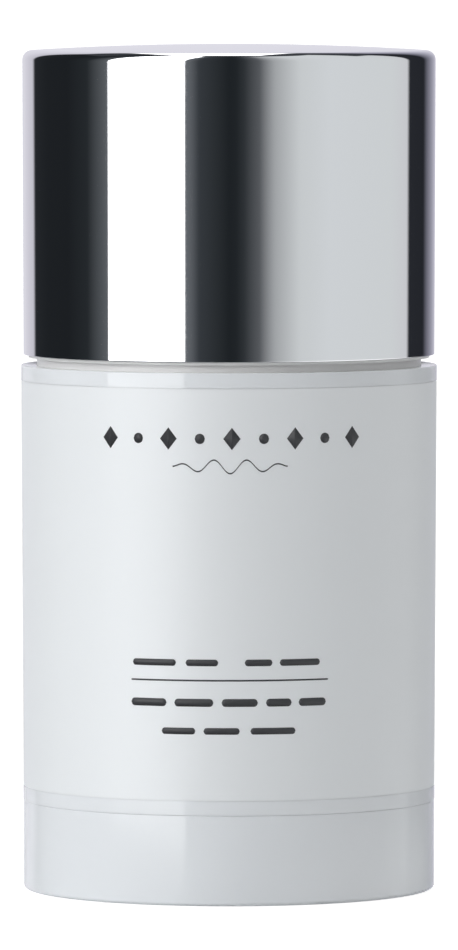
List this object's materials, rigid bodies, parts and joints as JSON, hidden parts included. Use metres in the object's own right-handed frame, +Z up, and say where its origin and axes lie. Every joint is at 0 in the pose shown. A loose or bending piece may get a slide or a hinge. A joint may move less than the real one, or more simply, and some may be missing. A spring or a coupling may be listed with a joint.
{
  "type": "twist-up deodorant stick",
  "caption": "Round twist-up deodorant stick: white double-walled barrel on a turning base, under a tall polished metal overcap.",
  "frame": {"origin": "centre of the foot ring that the pack stands on", "axes": "+Z up along the pack's own axis, from the turning base to the overcap; +Y points to the label's seam"},
  "size_m": [0.0512, 0.0512, 0.1042],
  "materials": {
    "gloss_white": "glossy",
    "collar_white": "satin",
    "label_film": "satin film",
    "polished_metal": "mirror polish",
    "liner_plastic": "as moulded",
    "dial_white": "glossy",
    "screw_plastic": "as moulded",
    "carrier_plastic": "as moulded",
    "product": "waxy"
  },
  "bodies": {
    "barrel": {"barrel_sleeve": "gloss_white", "inner_barrel": "collar_white", "wrap_label": "label_film"},
    "cap": {"cap_shell": "polished_metal", "cap_liner": "liner_plastic"},
    "base": {"dial": "dial_white", "lead_screw": "screw_plastic"},
    "stick": {"carrier": "carrier_plastic", "deodorant_stick": "product"}
  },
  "joints": [
    {"name": "cap_slide", "type": "slide", "parent": "barrel", "child": "cap", "axis": [0, 0, 1], "range_m": [0, 0.043]},
    {"name": "dial_turn", "type": "hinge", "parent": "barrel", "child": "base", "pos_m": [0, 0, 0], "axis": [0, 0, -1], "range_deg": [0, 2484.5]},
    {"name": "stick_rise", "type": "slide", "parent": "barrel", "child": "stick", "axis": [0, 0, 1], "range_m": [0, 0.0276]}
  ],
  "couplings": [
    {"joint": "dial_turn", "follows": "stick_rise", "rad_per_m": 1570.8}
  ]
}
